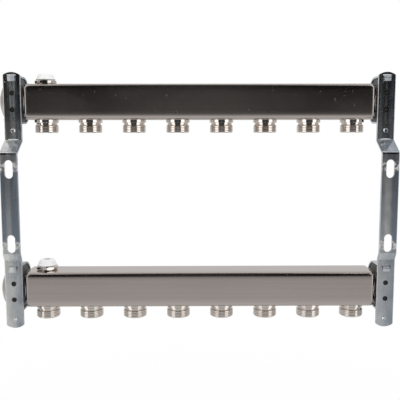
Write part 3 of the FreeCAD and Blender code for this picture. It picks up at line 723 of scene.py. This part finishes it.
# %% Helpers for trees
def new_tree(name, inputs):
    """A tree with a Geometry socket in and out, and the named inputs: {name: socket kind}."""
    tree = bpy.data.node_groups.new(name, "GeometryNodeTree")
    tree.interface.new_socket("Geometry", in_out="OUTPUT", socket_type="NodeSocketGeometry")
    tree.interface.new_socket("Geometry", in_out="INPUT", socket_type="NodeSocketGeometry")
    for label, kind in inputs.items():
        tree.interface.new_socket(label, in_out="INPUT", socket_type=kind)
    given = tree.nodes.new("NodeGroupInput").outputs
    return tree, given


def end_tree(tree, geometry):
    add_node(tree, "NodeGroupOutput", {"Geometry": geometry})
    print("tree", tree.name, "has", len(tree.nodes), "nodes")


print("tree helpers ready")

# %% Helper for grown pieces
SHARP_ANGLE = math.radians(28)


def grown_piece(name, points, steps):
    """Loose points passed through (tree, input values) steps, frozen into a plain mesh."""
    start = bpy.data.meshes.new(name + "_points")
    start.from_pydata(points, [], [])
    piece = bpy.data.objects.new(name, start)
    scene.collection.objects.link(piece)
    for tree, values in steps:
        modifier = piece.modifiers.new(tree.name, "NODES")
        modifier.node_group = tree
        for item in tree.interface.items_tree:
            if item.in_out == "INPUT" and item.name in values:
                modifier[item.identifier] = values[item.name]
    evaluated = piece.evaluated_get(bpy.context.evaluated_depsgraph_get())
    mesh = bpy.data.meshes.new_from_object(evaluated)
    piece.modifiers.clear()
    piece.data = mesh
    bpy.data.meshes.remove(start)
    outward = bmesh.new()
    outward.from_mesh(mesh)
    bmesh.ops.recalc_face_normals(outward, faces=outward.faces)
    outward.to_mesh(mesh)
    outward.free()
    mesh.shade_smooth()
    mesh.set_sharp_from_angle(angle=SHARP_ANGLE)
    print(name, "has", len(mesh.polygons), "faces")
    return piece


print("edges sharper than", round(math.degrees(SHARP_ANGLE)), "degrees stay sharp")

# %% [markdown]
# A turned piece is a profile spun about an axis. Blender's Screw modifier could spin it, but it can't
# cut a thread. Here a flat grid is rolled up instead: each row of the grid takes its radius and height
# from one point of the profile, and each column is a step round the axis. A thread is then a little
# more arithmetic: a groove whose depth depends on height and angle together, which is what makes a
# helix. The profile points have a spare coordinate, Y, and it says how the groove acts there: -1 cuts
# into a shaft, +1 cuts into the wall of a bore, and 0 leaves the surface plain.

# %% Thread groove
def thread_change(tree, given, cut, height, turn):
    """How far a thread moves the surface in or out at a height and a share of a turn."""
    phase = minus(tree, arithmetic(tree, "DIVIDE", height, given["Thread Pitch"]), turn)
    wave = arithmetic(tree, "COSINE", times(tree, phase, math.tau))
    half = times(tree, minus(tree, 1.0, wave), 0.5)
    groove = arithmetic(tree, "POWER", half, given["Groove Sharpness"])
    return times(tree, times(tree, groove, given["Thread Depth"]), cut)


print("a groove winds round once in each pitch")

# %% Tree: turned piece with a thread
SEAM_DISTANCE = 0.005 * MM


def turned_tree():
    tree, given = new_tree("turned_piece", {
        "Segments": "NodeSocketInt",
        "Thread Pitch": "NodeSocketFloat",
        "Thread Depth": "NodeSocketFloat",
        "Groove Sharpness": "NodeSocketFloat",
    })
    profile = given["Geometry"]
    size = add_node(tree, "GeometryNodeAttributeDomainSize", {"Geometry": profile})
    columns = plus(tree, given["Segments"], 1.0)
    inputs = {"Vertices X": size.outputs["Point Count"], "Vertices Y": columns}
    grid = add_node(tree, "GeometryNodeMeshGrid", inputs).outputs["Mesh"]
    index = add_node(tree, "GeometryNodeInputIndex").outputs[0]
    row = arithmetic(tree, "DIVIDE", plus(tree, index, 0.5), columns)
    row = arithmetic(tree, "FLOOR", row)
    column = minus(tree, index, times(tree, row, columns))
    turn = arithmetic(tree, "DIVIDE", column, given["Segments"])
    position = add_node(tree, "GeometryNodeInputPosition").outputs[0]
    inputs = {"Geometry": profile, "Value": position, "Index": row}
    corner = add_node(tree, "GeometryNodeSampleIndex", inputs, data_type="FLOAT_VECTOR").outputs[0]
    radius, cut, height = add_node(tree, "ShaderNodeSeparateXYZ", {0: corner}).outputs
    final = plus(tree, radius, thread_change(tree, given, cut, height, turn))
    angle = times(tree, turn, math.tau)
    x = times(tree, final, arithmetic(tree, "COSINE", angle))
    y = times(tree, final, arithmetic(tree, "SINE", angle))
    rolled = add_node(tree, "ShaderNodeCombineXYZ", {0: x, 1: y, 2: height}).outputs[0]
    inputs = {"Geometry": grid, "Position": rolled}
    placed = add_node(tree, "GeometryNodeSetPosition", inputs).outputs[0]
    inputs = {"Geometry": placed, "Distance": SEAM_DISTANCE}
    end_tree(tree, add_node(tree, "GeometryNodeMergeByDistance", inputs).outputs[0])
    return tree


TURNED = turned_tree()

# %% [markdown]
# The outlets stand in a row at an even pitch, the clamp screws and the highlight lines come in pairs,
# and a neck or a weld bead stands alone. An Array modifier would do for some of them. One tree makes any
# such row, and turns it too: a line of points, the piece instanced on each, and the instances made
# real.

# %% Tree: row of copies
def row_tree():
    tree, given = new_tree("row_of_copies", {
        "Count": "NodeSocketInt",
        "First Place": "NodeSocketVector",
        "Step": "NodeSocketVector",
        "Turn": "NodeSocketRotation",
        "Finish": "NodeSocketMaterial",
    })
    inputs = {"Count": given["Count"], "Start Location": given["First Place"], "Offset": given["Step"]}
    line = add_node(tree, "GeometryNodeMeshLine", inputs, mode="OFFSET", count_mode="TOTAL").outputs[0]
    inputs = {"Points": line, "Instance": given["Geometry"], "Rotation": given["Turn"]}
    copies = add_node(tree, "GeometryNodeInstanceOnPoints", inputs).outputs[0]
    real = add_node(tree, "GeometryNodeRealizeInstances", {"Geometry": copies}).outputs[0]
    inputs = {"Geometry": real, "Material": given["Finish"]}
    end_tree(tree, add_node(tree, "GeometryNodeSetMaterial", inputs).outputs[0])
    return tree


ROW = row_tree()

# %% [markdown]
# ## The outlets
# Each outlet is a nickel-plated nipple: a flange under the bar, an undercut, and a three-quarter inch
# pipe thread with a cone seat in its mouth. CAD keeps the thread as a plain cylinder. The nipples are
# turned again here with a real thread, 14 turns to the inch, and stand for the CAD ones. Plating fills
# the thread a little, so its crests are broad and its grooves narrow.

# %% Nipple profile
INCH = 25.4 * MM
PIPE_THREAD_PITCH = INCH / 14
THREAD_ROWS_PER_PITCH = 16


def thread_rows(high, low, pitch):
    """Evenly spaced heights down a thread, close enough together to show its grooves."""
    count = math.ceil((high - low) / pitch * THREAD_ROWS_PER_PITCH)
    return [high + (low - high) * i / count for i in range(count + 1)]


def nipple_profile(thread, flange, stub_top, end):
    """(radius, thread cut, height) points, with the seat under the bar at height 0."""
    stub, seal, bore, mouth = 10.25 * MM, 12.55 * MM, 7.5 * MM, 10.1 * MM
    flange_low, flange_edge, seal_height = -3.2 * MM, 0.4 * MM, 1.0 * MM
    thread_top, undercut_depth, crest_edge = -6.8 * MM, 1.4 * MM, 0.2 * MM
    chamfer, chamfer_cut, cone_depth = 1.0 * MM, -0.5, 9.0 * MM
    undercut = thread - undercut_depth
    outline = [(bore, 0, stub_top), (stub, 0, stub_top), (stub, 0, -seal_height)]
    outline += [(seal, 0, -seal_height), (seal, 0, 0), (flange, 0, 0)]
    outline += [(flange, 0, flange_low + flange_edge), (flange - flange_edge, 0, flange_low)]
    outline += [(undercut, 0, flange_low), (undercut, 0, thread_top + undercut_depth)]
    outline += [(thread - crest_edge, 0, thread_top + crest_edge)]
    outline += [(thread, -1, z) for z in thread_rows(thread_top, end + chamfer, PIPE_THREAD_PITCH)]
    outline += [(thread - chamfer / 2, chamfer_cut, end + chamfer / 2), (thread - chamfer, 0, end)]
    outline += [(mouth, 0, end), (bore, 0, end + cone_depth), (bore, 0, stub_top)]
    return outline


print("pipe thread pitch", round(PIPE_THREAD_PITCH / MM, 3), "mm")

# %% Outlet nipples
OUTLETS_PER_BAR = 8
OUTLET_SEGMENTS = 80
PIPE_THREAD_DEPTH = 0.65 * MM
PIPE_GROOVE_SHARPNESS = 6.0


def mount_radius(name):
    return mount(name)["dims"]["r_mm"] * MM


for level in LEVELS:
    names = [f"{level}_outlet_{number}" for number in range(1, OUTLETS_PER_BAR + 1)]
    low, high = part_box(names[0])
    next_low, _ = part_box(names[1])
    seat = centre((low, high))
    seat.z = tubes[level][0].z
    thread_radius = mount_radius(f"{level}_outlet_1_thread")
    flange_radius = (high.x - low.x) / 2
    profile = nipple_profile(thread_radius, flange_radius, high.z - seat.z, low.z - seat.z)
    thread = {"Segments": OUTLET_SEGMENTS, "Thread Pitch": PIPE_THREAD_PITCH,
              "Thread Depth": PIPE_THREAD_DEPTH, "Groove Sharpness": PIPE_GROOVE_SHARPNESS}
    row = {"Count": len(names), "First Place": seat, "Step": (next_low.x - low.x, 0, 0),
           "Finish": FINISHES["nickel"]}
    outlets = grown_piece(f"{level}_outlets", profile, [(TURNED, thread), (ROW, row)])
    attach(outlets, "manifold")
    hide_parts(*names)

# %% [markdown]
# ## The inlet ports
# The pipe that feeds a bar screws into the neck at its open end, a one inch thread with 11 turns to the
# inch. A Boolean with a threaded plug could cut it, but the same tree does it more cleanly, with the
# groove turned outwards into the wall of the bore.

# %% Neck profile
PORT_PITCH = INCH / 11


def neck_profile(radius, bore, inner_end, mouth):
    """(radius, thread cut, height) points from inside the bar out to the mouth."""
    passage, chamfer, edge, port_depth = 13.0 * MM, 1.2 * MM, 0.8 * MM, 16.0 * MM
    port_end = mouth - port_depth
    outline = [(passage, 0, inner_end), (radius, 0, inner_end), (radius, 0, mouth - edge)]
    outline += [(radius - edge, 0, mouth), (bore + chamfer, 0, mouth)]
    outline += [(bore, 1, z) for z in thread_rows(mouth - chamfer, port_end + chamfer, PORT_PITCH)]
    outline += [(bore, 0, port_end), (passage, 0, port_end), (passage, 0, inner_end)]
    return outline


print("port thread pitch", round(PORT_PITCH / MM, 3), "mm")

# %% Threaded inlet necks
NECK_SEGMENTS = 112
PORT_THREAD_DEPTH = 1.2 * MM
PORT_GROOVE_SHARPNESS = 1.5
ALONG_X = Euler((0, math.pi / 2, 0))

necks = {level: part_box(f"{level}_inlet_bush") for level in LEVELS}
neck_radius = {level: (high.z - low.z) / 2 for level, (low, high) in necks.items()}
for level in LEVELS:
    low, high = necks[level]
    axis_place = centre((low, high))
    axis_place.x = 0
    bore_radius = mount_radius(f"{level}_inlet_port")
    profile = neck_profile(neck_radius[level], bore_radius, low.x, high.x)
    thread = {"Segments": NECK_SEGMENTS, "Thread Pitch": PORT_PITCH,
              "Thread Depth": PORT_THREAD_DEPTH, "Groove Sharpness": PORT_GROOVE_SHARPNESS}
    row = {"Count": 1, "First Place": axis_place, "Step": (0, 0, 0), "Turn": ALONG_X,
           "Finish": FINISHES["stainless_turned"]}
    neck = grown_piece(f"{level}_inlet_neck", profile, [(TURNED, thread), (ROW, row)])
    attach(neck, "manifold")
    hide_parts(f"{level}_inlet_bush")

# %% [markdown]
# ## The clamp screws
# Each strap is drawn tight by an M5 screw whose threaded end shows through the bracket plate. The shank
# is turned with its thread, and a second tree cuts the cross recess into the head with a Boolean. The
# recess could be drawn with the head's faces instead, but a cut is easier to read and to change.

# %% Tree: cross recess
def recess_tree():
    tree, given = new_tree("cross_recess", {
        "Arm Length": "NodeSocketFloat",
        "Arm Width": "NodeSocketFloat",
        "Recess Depth": "NodeSocketFloat",
        "Head Height": "NodeSocketFloat",
    })
    tall = times(tree, given["Recess Depth"], 2.0)
    place = add_node(tree, "ShaderNodeCombineXYZ", {2: given["Head Height"]}).outputs[0]
    inputs = {"Mesh 1": given["Geometry"]}
    cut = add_node(tree, "GeometryNodeMeshBoolean", inputs, operation="DIFFERENCE")
    for long_axis, short_axis in ((0, 1), (1, 0)):
        inputs = {long_axis: given["Arm Length"], short_axis: given["Arm Width"], 2: tall}
        size = add_node(tree, "ShaderNodeCombineXYZ", inputs).outputs[0]
        arm = add_node(tree, "GeometryNodeMeshCube", {"Size": size}).outputs["Mesh"]
        inputs = {"Geometry": arm, "Translation": place}
        cutter = add_node(tree, "GeometryNodeTransform", inputs).outputs[0]
        tree.links.new(cutter, usable(cut.inputs, "Mesh 2"))
    end_tree(tree, cut.outputs["Mesh"])
    return tree


RECESS = recess_tree()

# %% Screw profile
SCREW_PITCH = 0.8 * MM
DOME_STEPS = 8


def screw_profile(shank, head, head_height, end):
    """(radius, thread cut, height) points, with the seat under the head at height 0."""
    tip_chamfer, tip_cut, plain_shank = 0.9 * MM, -0.4, -1.2 * MM
    flat_share, rim_share, side_curve, top_curve = 0.5, 0.35, 0.5, 0.7
    outline = [(0, 0, end), (shank - tip_chamfer, 0, end)]
    outline += [(shank - tip_chamfer / 2, tip_cut, end + tip_chamfer / 2)]
    heights = thread_rows(plain_shank, end + tip_chamfer, SCREW_PITCH)
    outline += [(shank, -1, z) for z in reversed(heights)]
    outline += [(shank, 0, plain_shank), (shank, 0, 0), (head, 0, 0)]
    for step in range(DOME_STEPS + 1):
        angle = math.pi / 2 * step / DOME_STEPS
        outward, upward = math.cos(angle) ** side_curve, math.sin(angle) ** top_curve
        radius = head * (flat_share + (1 - flat_share) * outward)
        outline.append((radius, 0, head_height * (rim_share + (1 - rim_share) * upward)))
    outline.append((0, 0, head_height))
    return outline


print("screw thread pitch", round(SCREW_PITCH / MM, 3), "mm")

# %% Clamp screws
SCREW_SEGMENTS = 32
SCREW_SHANK_RADIUS = 2.5 * MM
SCREW_HEAD_HEIGHT = 3.4 * MM
SCREW_THREAD_DEPTH = 0.45 * MM
SCREW_GROOVE_SHARPNESS = 1.0
RECESS_ARM = 5.0 * MM
RECESS_WIDTH = 1.1 * MM
RECESS_DEPTH = 1.8 * MM
HEAD_TO_ROOM = Euler((-math.pi / 2, 0, 0))

thread = {"Segments": SCREW_SEGMENTS, "Thread Pitch": SCREW_PITCH,
          "Thread Depth": SCREW_THREAD_DEPTH, "Groove Sharpness": SCREW_GROOVE_SHARPNESS}
recess = {"Arm Length": RECESS_ARM, "Arm Width": RECESS_WIDTH, "Recess Depth": RECESS_DEPTH,
          "Head Height": SCREW_HEAD_HEIGHT}
for level in LEVELS:
    names = [f"{level}_{end}_clamp_screw" for end in ENDS]
    low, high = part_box(names[0])
    next_low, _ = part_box(names[1])
    seat = centre((low, high))
    seat.y = high.y - SCREW_HEAD_HEIGHT
    head_radius = (high.x - low.x) / 2
    profile = screw_profile(SCREW_SHANK_RADIUS, head_radius, SCREW_HEAD_HEIGHT, low.y - seat.y)
    row = {"Count": len(names), "First Place": seat, "Step": (next_low.x - low.x, 0, 0),
           "Turn": HEAD_TO_ROOM, "Finish": FINISHES["screw"]}
    steps = [(TURNED, thread), (RECESS, recess), (ROW, row)]
    screws = grown_piece(f"{level}_clamp_screws", profile, steps)
    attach(screws, "manifold")
    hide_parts(*names)

# %% [markdown]
# ## The fold highlights
# Just above the upper fold of each bracket a bright highlight crosses the middle of the strip. It is a
# painted highlight, made as a raised line of pale paint. A ridge could be cut into the plate's own mesh,
# but CAD meshes stay as they are. A line that fades out at both ends is also a ball, stretched and half
# sunk into the plate.

# %% Tree: highlight line
LINE_SEGMENTS = 16
LINE_RINGS = 32


def line_tree():
    tree, given = new_tree("pressed_line", {"Half Size": "NodeSocketVector"})
    inputs = {"Segments": LINE_SEGMENTS, "Rings": LINE_RINGS, "Radius": 1.0}
    ball = add_node(tree, "GeometryNodeMeshUVSphere", inputs).outputs["Mesh"]
    inputs = {"Geometry": ball, "Scale": given["Half Size"]}
    end_tree(tree, add_node(tree, "GeometryNodeTransform", inputs).outputs[0])
    return tree


FOLD_HIGHLIGHT_LINE = line_tree()

# %% [markdown]
# The line is painted pale and matt, as a painted highlight. Metal without gloss looks like paint, so
# this finish isn't metallic.

# %% Painted highlight on the fold
HIGHLIGHT_GREY = (0.58, 0.60, 0.62)
HIGHLIGHT_PALE = (0.86, 0.87, 0.88)
HIGHLIGHT_SATIN = (0.5, 0.65)


def rubbed_zinc():
    made, tree, shader = new_finish("rubbed_zinc")
    highlight_grain = noise(tree, (300, 1500, 1500), detail=3.0)
    feed(tree, shader, tint(tree, highlight_grain, HIGHLIGHT_GREY, HIGHLIGHT_PALE), spread(tree, highlight_grain, *HIGHLIGHT_SATIN))
    return made


keep_finish("pressed_line", rubbed_zinc())

# %% Fold highlights
PLATE_FRONT = 22.0 * MM
LINE_HEIGHT = 72.8 * MM
LINE_SINK = 0.1 * MM
LINE_HALF_SIZE = (0.6 * MM, 0.6 * MM, 6.2 * MM)

# The pale lines carry the painted highlight over each bracket's upper fold.
line = {"Half Size": LINE_HALF_SIZE}
row = {"Count": 2, "First Place": (0, PLATE_FRONT + LINE_SINK, LINE_HEIGHT),
       "Step": (BRACKET_STEP, 0, 0), "Turn": ALONG_X, "Finish": FINISHES["pressed_line"]}
lines = grown_piece("bracket_pressed_lines", [(0, 0, 0)], [(FOLD_HIGHLIGHT_LINE, line), (ROW, row)])
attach(lines, "manifold")

# %% [markdown]
# ## The weld beads
# The necks are welded into the bar ends. A weld made by hand cools in overlapping drops, like a row of
# coins. A torus would be too smooth, so the bead is a ring of small flattened balls. The ring is wider
# than the flat of the bar's end, so the drops over the end's rounding sink with it.

# %% Sink over the rounding
def bead_sink(tree, given):
    """How far back the bar's end lies at each point of the ring."""
    position = add_node(tree, "GeometryNodeInputPosition").outputs[0]
    x, y, _ = add_node(tree, "ShaderNodeSeparateXYZ", {0: position}).outputs
    off_axis = [arithmetic(tree, "ABSOLUTE", side) for side in (x, y)]
    off_axis = arithmetic(tree, "MAXIMUM", *off_axis)
    flat = minus(tree, given["Bar Half Width"], given["End Rounding"])
    over = arithmetic(tree, "MAXIMUM", minus(tree, off_axis, flat), 0.0)
    square = arithmetic(tree, "POWER", given["End Rounding"], 2.0)
    left = minus(tree, square, arithmetic(tree, "POWER", over, 2.0))
    left = arithmetic(tree, "SQRT", left)
    depth = minus(tree, left, given["End Rounding"])
    return add_node(tree, "ShaderNodeCombineXYZ", {2: depth}).outputs[0]


print("drops sink by Pythagoras")

# %% Tree: weld bead
DROP_SEGMENTS = 10
DROP_RINGS = 6


def bead_tree():
    tree, given = new_tree("weld_bead", {
        "Ring Radius": "NodeSocketFloat",
        "Drops": "NodeSocketInt",
        "Drop Size": "NodeSocketVector",
        "Bar Half Width": "NodeSocketFloat",
        "End Rounding": "NodeSocketFloat",
    })
    inputs = {"Vertices": given["Drops"], "Radius": given["Ring Radius"]}
    circle = add_node(tree, "GeometryNodeMeshCircle", inputs).outputs[0]
    inputs = {"Geometry": circle, "Offset": bead_sink(tree, given)}
    ring = add_node(tree, "GeometryNodeSetPosition", inputs).outputs[0]
    inputs = {"Segments": DROP_SEGMENTS, "Rings": DROP_RINGS, "Radius": 1.0}
    ball = add_node(tree, "GeometryNodeMeshUVSphere", inputs).outputs["Mesh"]
    index = add_node(tree, "GeometryNodeInputIndex").outputs[0]
    angle = times(tree, arithmetic(tree, "DIVIDE", index, given["Drops"]), math.tau)
    turn = add_node(tree, "ShaderNodeCombineXYZ", {2: angle}).outputs[0]
    turn = add_node(tree, "FunctionNodeEulerToRotation", {0: turn}).outputs[0]
    inputs = {"Points": ring, "Instance": ball, "Rotation": turn, "Scale": given["Drop Size"]}
    drops = add_node(tree, "GeometryNodeInstanceOnPoints", inputs).outputs[0]
    end_tree(tree, add_node(tree, "GeometryNodeRealizeInstances", {"Geometry": drops}).outputs[0])
    return tree


BEAD = bead_tree()

# %% [markdown]
# Weld metal is not brushed, so the bars' finish won't do for it. It is rippled, and the heat has left
# it faintly yellow in places.

# %% Weld metal
WELD_GREY = (0.46, 0.43, 0.41)
WELD_YELLOW = (0.60, 0.53, 0.45)
WELD_SATIN = (0.26, 0.42)


def weld_metal():
    made, tree, shader = new_finish("weld_metal", metallic=1.0)
    ripple = noise(tree, (500, 900, 900), detail=3.0)
    heat = noise(tree, (120, 60, 60), detail=2.0)
    feed(tree, shader, tint(tree, heat, WELD_GREY, WELD_YELLOW), spread(tree, ripple, *WELD_SATIN))
    bump(tree, shader, ripple, strength=0.2, distance=0.08 * MM)
    return made


keep_finish("weld", weld_metal())

# %% Weld beads
BEAD_DROPS = 72
DROP_SIZE = (0.75 * MM, 1.25 * MM, 0.9 * MM)
BAR_END_ROUNDING = 4.0 * MM

for level in LEVELS:
    low, high = tubes[level]
    bead = {"Ring Radius": neck_radius[level], "Drops": BEAD_DROPS, "Drop Size": DROP_SIZE,
            "Bar Half Width": (high.z - low.z) / 2, "End Rounding": BAR_END_ROUNDING}
    for end, x, outward in zip(ENDS, (low.x, high.x), (-1, 1)):
        row = {"Count": 1, "First Place": (x, axes[level].y, axes[level].z), "Step": (0, 0, 0),
               "Turn": Euler((0, outward * math.pi / 2, 0)), "Finish": FINISHES["weld"]}
        weld = grown_piece(f"{level}_{end}_weld", [(0, 0, 0)], [(BEAD, bead), (ROW, row)])
        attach(weld, "manifold")
